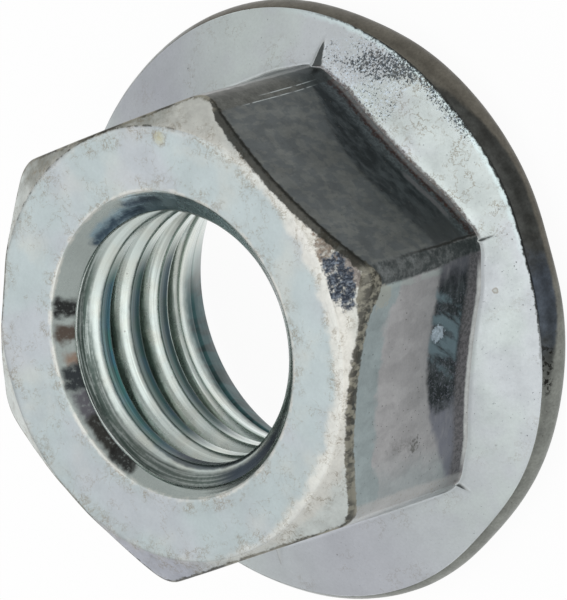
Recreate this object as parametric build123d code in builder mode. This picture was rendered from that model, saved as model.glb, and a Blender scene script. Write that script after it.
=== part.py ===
"""A 1/2-13 serrated flange nut: a forged hexagon on a flange whose underside carries ratchet serrations.

Millimetres. The origin is the centre of the bearing side, +Z runs along the thread axis to the hexagon's top.
The helical thread is not cut here: the bore is plain, at the radius of the thread's crests.
"""
import os
from math import cos, radians, sqrt, tan

from build123d import *

os.makedirs("parts", exist_ok=True)

# ---- Overall sizes ----
total_height = 11.0            # bearing plane to the hexagon's top face
across_flats = 19.0            # spanner size, 3/4 in less a little of its tolerance
flange_overhang = 3.625        # flange edge beyond a flat, measured square to the flat

# ---- Thread and its lead-ins ----
thread_diameter = 12.7         # nominal 1/2 in
thread_crest_height = 0.95     # how far the thread's crests stand inside the nominal radius
countersink_margin = 0.25      # top countersink's rim beyond the nominal radius
countersink_angle = 90.0       # included angle of the top countersink
exit_margin = 0.79             # bottom countersink's rim beyond the nominal radius
exit_half_angle = 32.0         # bottom countersink's wall, measured from the axis

# ---- Hexagon ----
corner_radius = 1.3            # rounding of the six upright edges
chamfer_inset = 0.17           # top face's circle inside the flats
chamfer_angle = 31.0           # top chamfer, measured from the top face
flare_height = 2.7             # concave flare at the foot of each flat
flare_depth = 0.27             # how far the flare spreads by the foot
corner_flare = 0.06            # what is left of the flare at the corners

# ---- Flange ----
top_slope = 21.5               # coned top, measured from level
rim_height = 1.25              # height at which the rim is widest
rim_top_height = 1.97          # height of the rim's upper edge
rim_top_setback = 0.42         # rim's upper edge inside the widest circle
rim_bottom_height = 0.62       # height of the rim's lower edge
rim_bottom_setback = 0.65      # rim's lower edge inside the widest circle
bearing_setback = 0.9          # bearing plane's edge inside the widest circle

# ---- Forging fins, one radial ridge at the foot of each corner ----
fin_width = 0.4
fin_height = 0.22              # over the coned top, at the corner
fin_end_margin = 0.45          # fin's tip inside the rim's upper edge

# ---- Serrations and the plain dish inside them ----
tooth_count = 30
tooth_depth = 0.45             # root depth at the bearing plane's outer edge
crest_angle = 1.5              # flat land on each crest, round the axis
steep_angle = 1.0              # steep flank, round the axis
dish_width = 0.95              # plain ring between the bottom countersink's rim and the serrations
dish_step = 0.25               # bevel from the dish down to the bearing plane

# ---- Sizes that follow ----
sides = 6
half_side_angle = 180 / sides
flat_radius = across_flats / 2
flange_radius = flat_radius + flange_overhang
bore_radius = thread_diameter / 2 - thread_crest_height
countersink_radius = thread_diameter / 2 + countersink_margin
countersink_depth = (countersink_radius - bore_radius) / tan(radians(countersink_angle / 2))
exit_radius = thread_diameter / 2 + exit_margin
exit_depth = (exit_radius - bore_radius) / tan(radians(exit_half_angle))
chamfer_radius = flat_radius - chamfer_inset
corner_stretch = 1 / cos(radians(half_side_angle))   # corner over flat, in a true hexagon
corner_reach = flat_radius * corner_stretch - corner_radius * (corner_stretch - 1)
corner_foot = corner_reach + corner_flare

rim_top_radius = flange_radius - rim_top_setback
rim_bottom_radius = flange_radius - rim_bottom_setback
bearing_radius = flange_radius - bearing_setback
dish_radius = exit_radius + dish_width
dish_depth = tooth_depth * dish_radius / bearing_radius   # the serrations' roots run out level with it


def coned_top(radius):
    """Height of the flange's coned top at a distance from the axis."""
    return rim_top_height + (rim_top_radius - radius) * tan(radians(top_slope))


def vertical_tangent_radius(setback, rise):
    """Radius of an arc that is upright at the widest circle and reaches `setback` in, `rise` away."""
    return (setback**2 + rise**2) / (2 * setback)


# ---- Hexagon: three crossed pairs of flats, each flared at the foot ----
foot_height = coned_top(flat_radius + flare_depth)
flare_top = foot_height + flare_height
flare_radius = vertical_tangent_radius(flare_depth, flare_height)
hidden_foot = rim_top_height   # the hexagon runs on inside the flange to this height
hidden_spread = flare_radius - sqrt(flare_radius**2 - (flare_top - hidden_foot) ** 2)

with BuildPart() as flat_pair:
    with BuildSketch(Plane.YZ):
        with BuildLine():
            Line((0, total_height), (flat_radius, total_height))
            Line((flat_radius, total_height), (flat_radius, flare_top))
            flare = RadiusArc(
                (flat_radius, flare_top), (flat_radius + hidden_spread, hidden_foot), flare_radius
            )
            Line(flare @ 1, (0, hidden_foot))
            mirror(about=Plane.YZ)
        make_face()
    extrude(amount=flange_radius, both=True)

with BuildPart() as hexagon:
    add(flat_pair.part)
    for turn in (1, 2):
        add(flat_pair.part.rotate(Axis.Z, turn * 360 / sides), mode=Mode.INTERSECT)
    fillet(hexagon.edges().filter_by(Plane.XY, reverse=True), corner_radius)
    # The top chamfer is a cone, so it bites deepest at the corners; the flare is cut short there.
    with BuildSketch(Plane.XZ):
        with BuildLine():
            chamfer_fall = (corner_foot - chamfer_radius) * tan(radians(chamfer_angle))
            Polyline(
                (0, 0),
                (corner_foot, 0),
                (corner_foot, total_height - chamfer_fall),
                (chamfer_radius, total_height),
                (0, total_height),
                close=True,
            )
        make_face()
    revolve(axis=Axis.Z, mode=Mode.INTERSECT)

# ---- One forging fin, lying on the coned top at the corner on +X ----
with BuildPart() as fin:
    with BuildSketch(Plane.XZ):
        with BuildLine():
            fin_root = corner_reach - corner_radius
            fin_tip = rim_top_radius - fin_end_margin
            Polyline(
                (fin_root, rim_top_height),
                (fin_root, coned_top(corner_reach) + fin_height),
                (corner_reach, coned_top(corner_reach) + fin_height),
                (fin_tip, coned_top(fin_tip)),
                (fin_tip, rim_top_height),
                close=True,
            )
        make_face()
    extrude(amount=fin_width / 2, both=True)

# ---- One serration's space: every edge aims at the centre of the bearing plane ----
with BuildPart() as tooth_space:
    for reach in (dish_radius - dish_step, flange_radius):
        with BuildSketch(Plane.YZ.offset(reach)):
            with BuildLine():
                crest_end = reach * tan(radians(crest_angle / 2))
                root = reach * tan(radians(crest_angle / 2 + steep_angle))
                next_crest = reach * tan(radians(360 / tooth_count - crest_angle / 2))
                root_height = tooth_depth * reach / bearing_radius
                Polyline(
                    (crest_end, -root_height),
                    (crest_end, 0),
                    (root, root_height),
                    (next_crest, 0),
                    (next_crest, -root_height),
                    close=True,
                )
            make_face()
    loft(ruled=True)

# ---- The nut ----
with BuildPart() as flange_nut:
    with BuildSketch(Plane.XZ):
        with BuildLine():
            hub_height = coned_top(bore_radius)
            Polyline(
                (0, hub_height),
                (0, dish_depth),
                (dish_radius, dish_depth),
                (dish_radius + dish_step, 0),
                (bearing_radius, 0),
                (rim_bottom_radius, rim_bottom_height),
            )
            lower_rim = RadiusArc(
                (rim_bottom_radius, rim_bottom_height),
                (flange_radius, rim_height),
                -vertical_tangent_radius(rim_bottom_setback, rim_height - rim_bottom_height),
            )
            upper_rim = RadiusArc(
                lower_rim @ 1,
                (rim_top_radius, rim_top_height),
                -vertical_tangent_radius(rim_top_setback, rim_top_height - rim_height),
            )
            Line(upper_rim @ 1, (bore_radius, hub_height))
            Line((bore_radius, hub_height), (0, hub_height))
        make_face()
    revolve(axis=Axis.Z)
    add(hexagon.part)
    with PolarLocations(0, sides):
        add(fin.part)
    with PolarLocations(0, tooth_count):
        add(tooth_space.part, mode=Mode.SUBTRACT)
    # Bore with a countersink at each end.
    with BuildSketch(Plane.XZ):
        with BuildLine():
            Polyline(
                (0, dish_depth),
                (exit_radius, dish_depth),
                (bore_radius, dish_depth + exit_depth),
                (bore_radius, total_height - countersink_depth),
                (countersink_radius, total_height),
                (0, total_height),
                close=True,
            )
        make_face()
    revolve(axis=Axis.Z, mode=Mode.SUBTRACT)

flange_nut.part.label = "flange_nut"
export_step(flange_nut.part, "parts/flange_nut.step")
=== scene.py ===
"""Looks of the serrated flange nut: forged, clear-zinc-plated steel, with its helical thread, wear and grime.

The nut is one closed mesh, swept round the axis column by column: each column is the section of the nut at
one angle, from the bottom countersink out under the flange, up the hexagon and down through the thread.
Sizes are in millimetres until a vertex is made; angles are in degrees round the thread axis.
"""
import math

import bmesh
import bpy
import numpy as np
from mathutils import Matrix, Vector, noise


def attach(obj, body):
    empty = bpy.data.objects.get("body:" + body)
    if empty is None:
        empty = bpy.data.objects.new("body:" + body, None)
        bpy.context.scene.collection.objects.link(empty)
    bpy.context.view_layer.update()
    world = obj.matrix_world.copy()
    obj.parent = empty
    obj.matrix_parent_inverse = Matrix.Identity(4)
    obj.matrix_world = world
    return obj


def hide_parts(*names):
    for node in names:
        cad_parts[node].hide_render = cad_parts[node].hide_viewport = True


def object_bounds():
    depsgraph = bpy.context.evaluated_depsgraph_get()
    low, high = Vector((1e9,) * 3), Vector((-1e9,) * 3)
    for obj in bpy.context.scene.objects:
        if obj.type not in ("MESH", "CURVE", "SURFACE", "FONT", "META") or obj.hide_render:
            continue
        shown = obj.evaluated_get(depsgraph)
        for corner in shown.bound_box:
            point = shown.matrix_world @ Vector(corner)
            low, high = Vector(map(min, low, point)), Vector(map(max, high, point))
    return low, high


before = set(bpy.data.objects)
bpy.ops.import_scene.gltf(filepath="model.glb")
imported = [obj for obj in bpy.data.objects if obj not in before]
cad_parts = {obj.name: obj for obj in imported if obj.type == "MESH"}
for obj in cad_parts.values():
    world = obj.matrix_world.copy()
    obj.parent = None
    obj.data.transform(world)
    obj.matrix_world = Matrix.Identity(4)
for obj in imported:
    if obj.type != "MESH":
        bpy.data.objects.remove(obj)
cad_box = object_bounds()

MM = 0.001

# ---- Sizes shared with the frame ----
HEIGHT = cad_box[1][2] / MM
FLANGE_RADIUS = cad_box[1][0] / MM

# ---- Hexagon: corners at 0, 60, 120 and so on ----
SIDE_ANGLE = 60
FLAT_RADIUS = 9.5
CORNER_RADIUS = 1.3
FLARE_DEPTH = 0.27
FLARE_HEIGHT = 2.7
FLARE_FADE = 13.0               # degrees from a corner over which the flare dies out
FLARE_SHARES = (1.0, 1.0, 0.8, 0.9, 0.1, 1.0)   # how much of it each side has, from the one at 30
HOLLOW_HEIGHT = 2.72            # upper edge of the painted dark reflection in the hollow at a side's foot, over the foot
HOLLOW_LEVEL = 22.0             # degrees from every second corner over which that edge is level
HOLLOW_FALL = 0.0013            # how it falls beyond them, per square degree
FOOT_TURN = 0.26                # rounding where a side meets the flange
CHAMFER_RADIUS = 9.33
CHAMFER_SHIFT = (-0.2, 0.08)    # the turned chamfer is a little off the hexagon's centre
CHAMFER_LEAST = 0.09            # what is left of it at the middle of a side, so that it never turns over
CHAMFER_BLEND = 0.04
CHAMFER_ANGLE = 31.0

# ---- Flange ----
RIM_HEIGHT = 1.25
RIM_TOP = (12.68, 1.97)
RIM_TOP_RADII = (12.5, 12.88)   # the rim's upper edge where it is set in, and where it isn't
RIM_SET_IN_AT = 5
RIM_SET_IN_FADE = (20, 55)      # degrees from there
RIM_BOTTOM = (12.45, 0.62)
TOP_SLOPE = 21.5
BEARING_SETBACK = 0.9
BEARING_RADIUS = FLANGE_RADIUS - BEARING_SETBACK
FLANGE_DIPS = (                 # dips in the flange's outline: middle and spread in degrees, depth
    (355, 9, 0.15), (55, 13, 0.13), (112, 16, 0.07), (175, 20, 0.08), (240, 10, 0.05), (294, 12, 0.17),
)
DIP_FADE = (10.5, 12.7)         # radii between which they come in

# ---- Forging fins at the feet of the corners: height, half width, length, from the corner at 0 ----
FINS = ((0.12, 0.12, 0.75), (0.3, 0.4, 1.15), (0.2, 0.14, 1.1), (0.16, 0.12, 0.9), (0.2, 0.16, 1.2), (0.2, 0.2, 0.6))
FIN_INSIDE = 0.35               # how far inside the corner they start
FIN_TIP = 0.25                  # their width at the tip, as a share of that at the root
FIN_COLUMNS = (-1.2, -0.95, -0.55, -0.35, -0.18, 0.18, 0.35, 0.55, 0.95, 1.3)   # degrees from a corner

# ---- Serrations ----
TOOTH_COUNT = 30
TOOTH_DEPTH = 0.45
CREST_ANGLE = 1.5
STEEP_ANGLE = 1.0
DISH_RADIUS = 8.09
DISH_STEP = 0.25
DISH_DEPTH = TOOTH_DEPTH * DISH_RADIUS / BEARING_RADIUS
EXIT_RADIUS = 7.14

# ---- Thread ----
PITCH = 25.4 / 13
CREST_RADIUS = 5.4
ROOT_RADIUS = 6.38
CREST_WIDTH = 0.62
CREST_ROUNDING = 0.06
ROOT_ROUNDING = 0.1
WALL_BLEND = 0.05
THREAD_PHASE = 0.09             # height of a crest's middle at angle 0, within one pitch
COUNTERSINK_RADIUS = 6.6
BORE_SHIFT = (-0.12, 0.03)      # the tapped hole is a little off the hexagon's centre
BORE_SHIFT_FADE = (9.0, 7.0)    # radii between which the shift comes in
TRUMPET_TOP = 6.5               # below this the crests open out toward the bearing side
TRUMPET_POWER = 2.2

# ---- How far from each edge its rounding starts ----
EXIT_CUT = 0.1
DISH_CUT = 0.06
RIM_CUT = 0.1
RIM_BOTTOM_CUT = 0.12
SHOULDER_CUT = 0.13
CROWN_CUT = 0.2
MOUTH_CUT = 0.13
WEAR = 0.6                      # how much the last three vary round the nut

# ---- Unevenness of the forging: size of the swells, how wide they are, and each zone's share of them ----
SWELL = 0.035
SWELL_SPAN = 3.2
RIPPLE = 0.012
RIPPLE_SPAN = 0.8
FORGED_SHARES = {"rim": 0.6, "flange": 1.0, "flat": 1.0, "chamfer": 0.8, "face": 0.35}

# ---- The mesh ----
ZONES = ("bearing", "rim", "flange", "flat", "chamfer", "face", "thread")   # in the order of the materials
FAR = 9.0                       # stands for a distance that no material looks for
MERGE_METRES = 1e-7

# ---- Plate colours, linear ----
FACE_COLOUR = (0.465, 0.53, 0.54)
VIOLET_COLOUR = (0.485, 0.50, 0.54)
CREAM_COLOUR = (0.58, 0.59, 0.55)
# Pale, raised to stand for the light the chamfer reflects: the zinc's colour with painted light.
CHAMFER_COLOUR = (0.60, 0.64, 0.62)
CHAMFER_SHADE = (0.24, 0.245, 0.215)
CHAMFER_LILAC = (0.42, 0.44, 0.49)
WORN_COLOUR = (0.70, 0.69, 0.64)
SHOULDER_PALE = (0.23, 0.22, 0.175)
SHOULDER_DARK = (0.04, 0.038, 0.03)
SHOULDER_SHADE_BLACK = (0.022, 0.024, 0.02)
SIDE_SHADES = (                # painted shade and reflection, darkest on the side at 30; one for each side, from the one at 30
    (0.086, 0.096, 0.098), (0.24, 0.25, 0.25), (0.3, 0.3, 0.31),
    (0.3, 0.3, 0.31), (0.47, 0.51, 0.52), (0.325, 0.325, 0.328),
)
PATCH_WARMTH = (1.4, 1.34, 1.25)   # times the side's colour
GREEN_STRIP = (0.25, 0.30, 0.305)
PALE_GREEN = (0.35, 0.41, 0.39)
PALE_CORNER = (0.42, 0.42, 0.41)
CORNER_SHADE = (0.045, 0.053, 0.053)
CORNER_GREY = (0.12, 0.13, 0.13)
CORNER_OLIVE = (0.09, 0.092, 0.083)
# Colours of the hollow's painted reflection; the black and the sheen also darken the shaded side's foot as painted
# shade.
HOLLOW_SHADE_BLACK = (0.022, 0.027, 0.029)
HOLLOW_SHEEN = (0.085, 0.10, 0.105)
HOLLOW_VIOLET = (0.18, 0.19, 0.225)
SMEAR_BLUE = (0.16, 0.225, 0.25)
SMEAR_PALE = (0.42, 0.50, 0.56)
STRIP_GREY = (0.155, 0.15, 0.155)
# Painted highlight on the turn into the flange and on the fins.
FOOT_HIGHLIGHT = (0.52, 0.54, 0.53)
FLANGE_COLOUR = (0.565, 0.62, 0.61)
FLANGE_VIOLET = (0.54, 0.56, 0.60)
FLANGE_LILAC = (0.44, 0.45, 0.50)
FLANGE_BLUE = (0.66, 0.76, 0.86)
FLANGE_CYAN = (0.72, 0.86, 0.87)
PEPPER_COLOUR = (0.035, 0.045, 0.055)
# The rim's tones by direction and its dark upper turn: painted shade.
RIM_COLOUR = (0.215, 0.225, 0.205)
RIM_BROWN = (0.125, 0.117, 0.098)
RIM_PALE = (0.40, 0.42, 0.42)
RIM_SHADE_BLACK = (0.045, 0.048, 0.046)
RIM_BLUE = (0.05, 0.062, 0.08)
THREAD_COLOUR = (0.67, 0.75, 0.72)
THREAD_CREAM = (0.68, 0.69, 0.61)
# Dark colours of the crests' lands, the exit and the roots: painted reflection.
CREST_COLOUR = (0.022, 0.088, 0.085)
CREST_BLUE = (0.025, 0.085, 0.115)
CREST_NAVY = (0.004, 0.018, 0.045)
EXIT_TEAL = (0.012, 0.05, 0.055)
ROOT_COLOUR = (0.09, 0.125, 0.11)
COUNTERSINK_COLOUR = (0.41, 0.46, 0.44)
RIDGE_HIGHLIGHT = (0.88, 0.91, 0.90)
BEARING_COLOUR = (0.50, 0.52, 0.54)
BRUISE_INK = (0.02, 0.024, 0.03)
BRUISE_BLUE = (0.045, 0.055, 0.075)
BRUISE_FLECK = (0.20, 0.235, 0.28)
BRUISE_MAUVE = (0.19, 0.165, 0.15)
RUST_BROWN = (0.15, 0.11, 0.08)
# Brown-black for lines at the shaded side's foot: painted shade.
FOOT_SHADE_BROWN = (0.07, 0.035, 0.028)
STAIN_BROWN = (0.24, 0.20, 0.14)
STAIN_YELLOW = (0.50, 0.48, 0.33)
STAIN_PALE = (0.33, 0.335, 0.29)
SCRATCH_COLOUR = (0.33, 0.36, 0.37)
WHITE_SCRATCH = (0.42, 0.46, 0.46)
PIT_COLOUR = (0.07, 0.068, 0.06)
# Dark for dirt, and for painted shade along the shaded side's shoulder and in the corner's crease.
DIRT_AND_SHADE_COLOUR = (0.02, 0.02, 0.018)

# ---- Placed marks: degrees round the axis, then millimetres ----
# Out from the axis, on the top face or its chamfer.
CRUST_AT = (70, 8.85)
BRUISE_AT = (0.8, 9.62)
MARGIN_AT = (3.0, 10.15)
RUST_AT = (9.5, 9.62)
# Down from the shoulder, on a side.
SMEAR_AT = (-18.8, 5.35)
SMUDGE_AT = (-5.5, 0.75)
STAIN_AT = (-46.5, 4.3)
STAIN_TAIL_AT = (-46, 3.4)
# In from the rim's upper edge, on the flange.
PEPPER_AT = (46, 1.2)
PEPPER_TAIL_AT = (50, 2.5)
CRATER_AT = (-11.6, 1.6)
# Upright ones, from and to how far over the foot.
CORNER_SCRATCHES = ((54.35, 1.4, 5.7), (55.7, 1.2, 4.4))

COUNTERSINK_REFLECTIONS = (         # painted reflections on the countersink: azimuth, half width in degrees, from and to how far below the top, tone
    (60, 32, 0.1, 1.2, (0.54, 0.68, 0.74)),
    (97, 21, 0.4, 1.2, (0.26, 0.36, 0.41)),
    (84, 9, 0.25, 0.55, (0.10, 0.14, 0.18)),
    (104, 17, 0.6, 0.9, (0.05, 0.08, 0.11)),
    (151, 3.5, 0.05, 1.3, (0.02, 0.02, 0.02)),
    (161, 3.5, 0.1, 1.3, (0.10, 0.075, 0.06)),
    (171, 2, 0.3, 1.3, (0.30, 0.22, 0.17)),
    (179, 5, 0.1, 1.3, (0.03, 0.035, 0.04)),
    (190, 6, 0.2, 1.3, (0.12, 0.118, 0.135)),
    (204, 9, 0.2, 1.3, (0.03, 0.028, 0.025)),
    (217, 6, 0.1, 1.3, (0.025, 0.025, 0.024)),
)
MARK_DEPTH = 0.015              # of pits and scratches in the relief
BUMP_STRENGTH = 0.5

# ---- Camera, fitted to the outlines in the photograph: degrees and millimetres ----
CAMERA_AZIMUTH = -2.19
CAMERA_ELEVATION = 48.99
CAMERA_ROLL = 107.13
CAMERA_DISTANCE = 303.2
CAMERA_AIM = (-1.656, 0.517, 1.429)
CAMERA_LENS = 422.5
CAMERA_SENSOR = 36.0
CAMERA_CLIP = (0.01, 20.0)      # metres


def smooth_max(first, second, softness):
    return 0.5 * (first + second + math.sqrt((first - second) ** 2 + softness**2))


def smooth_min(first, second, softness):
    return -smooth_max(-first, -second, softness)


def smooth_step(low, high, value):
    share = min(max((value - low) / (high - low), 0.0), 1.0)
    return share * share * (3 - 2 * share)


def wrapped(value, period):
    """The value, moved by whole periods to within half a period of zero."""
    return (value + period / 2) % period - period / 2


def direction(azimuth, elevation=0.0):
    a, e = math.radians(azimuth), math.radians(elevation)
    return Vector((math.cos(e) * math.cos(a), math.cos(e) * math.sin(a), math.sin(e)))


# ---------------------------------------------------------------- the section at one angle
def from_corner(angle):
    """Degrees from the nearest corner, signed."""
    return wrapped(angle, SIDE_ANGLE)


def hexagon_reach(angle):
    """Distance from the axis to the hexagon's outline, with its rounded corners."""
    off_corner = math.radians(abs(from_corner(angle)))
    half_side = math.radians(SIDE_ANGLE / 2)
    centre = (FLAT_RADIUS - CORNER_RADIUS) / math.cos(half_side)
    tangent = math.atan2(CORNER_RADIUS * math.sin(half_side), centre + CORNER_RADIUS * math.cos(half_side))
    if off_corner < tangent:
        side = centre * math.sin(off_corner)
        return centre * math.cos(off_corner) + math.sqrt(CORNER_RADIUS**2 - side**2)
    return FLAT_RADIUS / math.cos(half_side - off_corner)


def chamfer_circle(angle):
    """Radius of the top face, whose centre is that of the chamfer."""
    turn = math.radians(angle)
    radius = CHAMFER_RADIUS + CHAMFER_SHIFT[0] * math.cos(turn) + CHAMFER_SHIFT[1] * math.sin(turn)
    return smooth_min(radius, hexagon_reach(angle) - CHAMFER_LEAST, CHAMFER_BLEND)


def shoulder_at(angle):
    """Where the top chamfer, a cone, meets the upright side."""
    reach = hexagon_reach(angle)
    return reach, HEIGHT - (reach - chamfer_circle(angle)) * math.tan(math.radians(CHAMFER_ANGLE))


def coned_top(radius):
    return RIM_TOP[1] + (RIM_TOP[0] - radius) * math.tan(math.radians(TOP_SLOPE))


def fin_rise(radius, angle):
    """Height of the forging fin over the coned top: a thin ridge that runs out from the corner to a point."""
    height, half_width, length = FINS[round(angle / SIDE_ANGLE) % len(FINS)]
    along = (radius - CORNER_REACH + FIN_INSIDE) / (length + FIN_INSIDE)
    aside = abs(math.radians(from_corner(angle))) * radius
    if along >= 1:
        return 0.0
    taper = 1 - max(along, 0.0)
    return height * math.sqrt(taper) * max(0.0, 1 - aside / (half_width * (FIN_TIP + (1 - FIN_TIP) * taper)))


CORNER_REACH = hexagon_reach(0)
FOOT_HEIGHT = coned_top(FLAT_RADIUS + FLARE_DEPTH)
FLARE_TOP = FOOT_HEIGHT + FLARE_HEIGHT
FLARE_RADIUS = (FLARE_HEIGHT**2 + FLARE_DEPTH**2) / (2 * FLARE_DEPTH)


def flank_reach(angle, height):
    """The hexagon's outline at a height, with the concave flare at its foot, which dies out at the corners."""
    below = max(0.0, FLARE_TOP - height)
    spread = FLARE_RADIUS - math.sqrt(FLARE_RADIUS**2 - below**2)
    share = FLARE_SHARES[int(angle // SIDE_ANGLE) % len(FLARE_SHARES)]
    return hexagon_reach(angle) + share * spread * smooth_step(0, FLARE_FADE, abs(from_corner(angle)))


def foot_at(angle):
    """Where the flared hexagon meets the coned top, each read at the other's place until they agree."""
    height = FOOT_HEIGHT
    for _ in range(12):
        radius = flank_reach(angle, height)
        height = coned_top(radius) + fin_rise(radius, angle)
    return radius, height


def rim_top(angle):
    """The rim's upper edge: a place on the cone, set further in on one side."""
    aside = smooth_step(*RIM_SET_IN_FADE, abs(wrapped(angle - RIM_SET_IN_AT, 360)))
    radius = RIM_TOP_RADII[0] + (RIM_TOP_RADII[1] - RIM_TOP_RADII[0]) * aside
    return radius, coned_top(radius)


def hollow_at(angle):
    """Height of the hollow's upper edge over the foot: it runs down toward every second corner."""
    off_corner = abs(wrapped(angle, 2 * SIDE_ANGLE))
    return HOLLOW_HEIGHT - HOLLOW_FALL * max(0.0, off_corner - HOLLOW_LEVEL) ** 2


def tooth_rise(angle):
    """Height of the serrated face over the crests' plane at the bearing edge: crest, steep flank, long ramp."""
    period = 360 / TOOTH_COUNT
    along = (angle + CREST_ANGLE / 2) % period - CREST_ANGLE
    if along < 0:
        return 0.0
    if along < STEEP_ANGLE:
        return TOOTH_DEPTH * along / STEEP_ANGLE
    return TOOTH_DEPTH * (period - CREST_ANGLE - along) / (period - CREST_ANGLE - STEEP_ANGLE)


def rim_points(top, count):
    """The rounded rim between its two edges, upright where it is widest."""
    points = []
    low_setback, low_fall = FLANGE_RADIUS - RIM_BOTTOM[0], RIM_HEIGHT - RIM_BOTTOM[1]
    for step in range(1, count):
        turn = math.radians(90) * (1 - step / count)
        points.append((FLANGE_RADIUS - low_setback * (1 - math.cos(turn)), RIM_HEIGHT - low_fall * math.sin(turn)))
    high_setback, high_rise = FLANGE_RADIUS - top[0], top[1] - RIM_HEIGHT
    bend = (high_setback**2 + high_rise**2) / (2 * high_setback)
    for step in range(count):
        rise = high_rise * step / count
        points.append((FLANGE_RADIUS - bend + math.sqrt(bend**2 - rise**2), RIM_HEIGHT + rise))
    return points


def cone_radius(height):
    return COUNTERSINK_RADIUS - (HEIGHT - height)


def crest_rise(angle, height):
    """How far a height is over the middle of the thread's nearest crest."""
    return wrapped(height - (THREAD_PHASE + PITCH * angle / 360), PITCH)


def tapped_radius(angle, height):
    """The 60 degree thread, crests and roots rounded, as if it ran on for ever."""
    flank = CREST_RADIUS + (abs(crest_rise(angle, height)) - CREST_WIDTH / 2) * math.sqrt(3)
    return smooth_min(smooth_max(CREST_RADIUS, flank, CREST_ROUNDING), ROOT_RADIUS, ROOT_ROUNDING)


def thread_radius(angle, height):
    """The bore's wall: the thread, opened by the countersink above and the trumpet below."""
    wall = smooth_max(tapped_radius(angle, height), cone_radius(height), WALL_BLEND)
    down = max(0.0, (TRUMPET_TOP - height) / (TRUMPET_TOP - DISH_DEPTH))
    trumpet = CREST_RADIUS + (EXIT_RADIUS - CREST_RADIUS) * down**TRUMPET_POWER
    return smooth_max(wall, trumpet, WALL_BLEND)


# Rows of one pitch, as shares of it from a crest's middle: close together where the profile turns.
THREAD_ROWS = (-0.16, -0.128, -0.09, 0.0, 0.09, 0.128, 0.16, 0.21, 0.27, 0.33,
               0.38, 0.42, 0.46, 0.5, 0.54, 0.58, 0.62, 0.67, 0.73, 0.79)
THREAD_TURNS = 7
THREAD_LOW = 1.3                # the rows follow the helix between these heights
THREAD_HIGH = HEIGHT - 0.14


def between(start, end, count):
    """Numbers strictly between two others, evenly spaced."""
    return [start + (end - start) * step / (count + 1) for step in range(1, count + 1)]


def bore_points(angle):
    """The wall from the countersink down to the bearing side."""
    heights = []
    for turn in reversed(range(-1, THREAD_TURNS - 1)):
        rows = [THREAD_PHASE + PITCH * (angle / 360 + turn + share) for share in reversed(THREAD_ROWS)]
        heights += [min(max(height, THREAD_LOW), THREAD_HIGH) for height in rows]
    heights += between(THREAD_LOW, DISH_DEPTH, 7)
    return [(thread_radius(angle, height), height) for height in heights]


def rounded_path(knots):
    """Points along a closed path of straight runs, rounded at its knots.

    A knot is (point, cut, rows, zone): the rounding starts and ends `cut` away from the point, `rows` points
    lie strictly between it and the next knot, and the zone is that of the run that follows.
    """
    curves = []
    for index, (point, cut, _, _) in enumerate(knots):
        if not cut:
            curves.append([point])
            continue
        ends = []
        for other in (knots[index - 1][0], knots[(index + 1) % len(knots)][0]):
            share = min(cut / math.dist(point, other), 0.45)
            ends.append([p + (o - p) * share for p, o in zip(point, other)])
        curves.append([
            tuple((1 - t) ** 2 * a + 2 * t * (1 - t) * p + t**2 * b for a, p, b in zip(ends[0], point, ends[1]))
            for t in (0, 0.25, 0.5, 0.75, 1)
        ])
    path = []
    for index, (_, _, rows, zone) in enumerate(knots):
        curve, following = curves[index], curves[(index + 1) % len(knots)]
        middle = len(curve) // 2
        path += [(*point, knots[index - 1][3]) for point in curve[:middle]]
        path += [(*point, zone) for point in curve[middle:]]
        start, end = curve[-1], following[0]
        path += [(r, z, zone) for r, z in zip(between(start[0], end[0], rows), between(start[1], end[1], rows))]
    return path


def section(angle):
    """All the points of one column, bottom countersink first; each is (radius, height, zone)."""
    rise = tooth_rise(angle)
    inner_radius = DISH_RADIUS + DISH_STEP
    foot, shoulder, rim_edge = foot_at(angle), shoulder_at(angle), rim_top(angle)
    cone = [(radius, coned_top(radius) + fin_rise(radius, angle))
            for radius in between(rim_edge[0] - RIM_CUT, foot[0] + FOOT_TURN, 13)]
    flare = [(flank_reach(angle, height), height) for height in between(foot[1] + FOOT_TURN, FLARE_TOP, 9)]
    worn = 1 + WEAR * noise.noise(direction(angle) * 6)
    return rounded_path([
        ((EXIT_RADIUS, DISH_DEPTH), EXIT_CUT, 3, "bearing"),
        ((DISH_RADIUS, DISH_DEPTH), DISH_CUT, 0, "bearing"),
        ((inner_radius, rise * inner_radius / BEARING_RADIUS), DISH_CUT, 5, "bearing"),
        ((BEARING_RADIUS, rise), RIM_CUT, 1, "rim"),
        (RIM_BOTTOM, RIM_BOTTOM_CUT, 0, "rim"),
        *((point, 0, 0, "rim") for point in rim_points(rim_edge, 6)),
        (rim_edge, RIM_CUT, 0, "flange"),
        *((point, 0, 0, "flange") for point in cone),
        (foot, FOOT_TURN, 0, "flat"),
        *((point, 0, 0, "flat") for point in flare),
        ((shoulder[0], FLARE_TOP), 0, 12, "flat"),
        (shoulder, SHOULDER_CUT * worn, 4, "chamfer"),
        ((chamfer_circle(angle), HEIGHT), CROWN_CUT * worn, 14, "face"),
        ((COUNTERSINK_RADIUS, HEIGHT), MOUTH_CUT * worn, 0, "thread"),
        *((point, 0, 0, "thread") for point in bore_points(angle)),
    ])


def rim_fall(angle):
    """How far the flange's edge falls inside its circle, in shallow dips."""
    return sum(depth * math.exp(-(wrapped(angle - middle, 360) / spread) ** 2) for middle, spread, depth in FLANGE_DIPS)


def place_point(radius, height, angle, zone):
    """A section's point in space, with the rim's dips and the bore's shift, which fades out on the faces round it."""
    turn = math.radians(angle)
    hold = smooth_step(*BORE_SHIFT_FADE, radius) if zone in ("bearing", "face", "thread") else 0.0
    radius -= rim_fall(angle) * smooth_step(*DIP_FADE, radius)
    return (
        radius * math.cos(turn) + BORE_SHIFT[0] * hold,
        radius * math.sin(turn) + BORE_SHIFT[1] * hold,
        height,
    )


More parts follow.
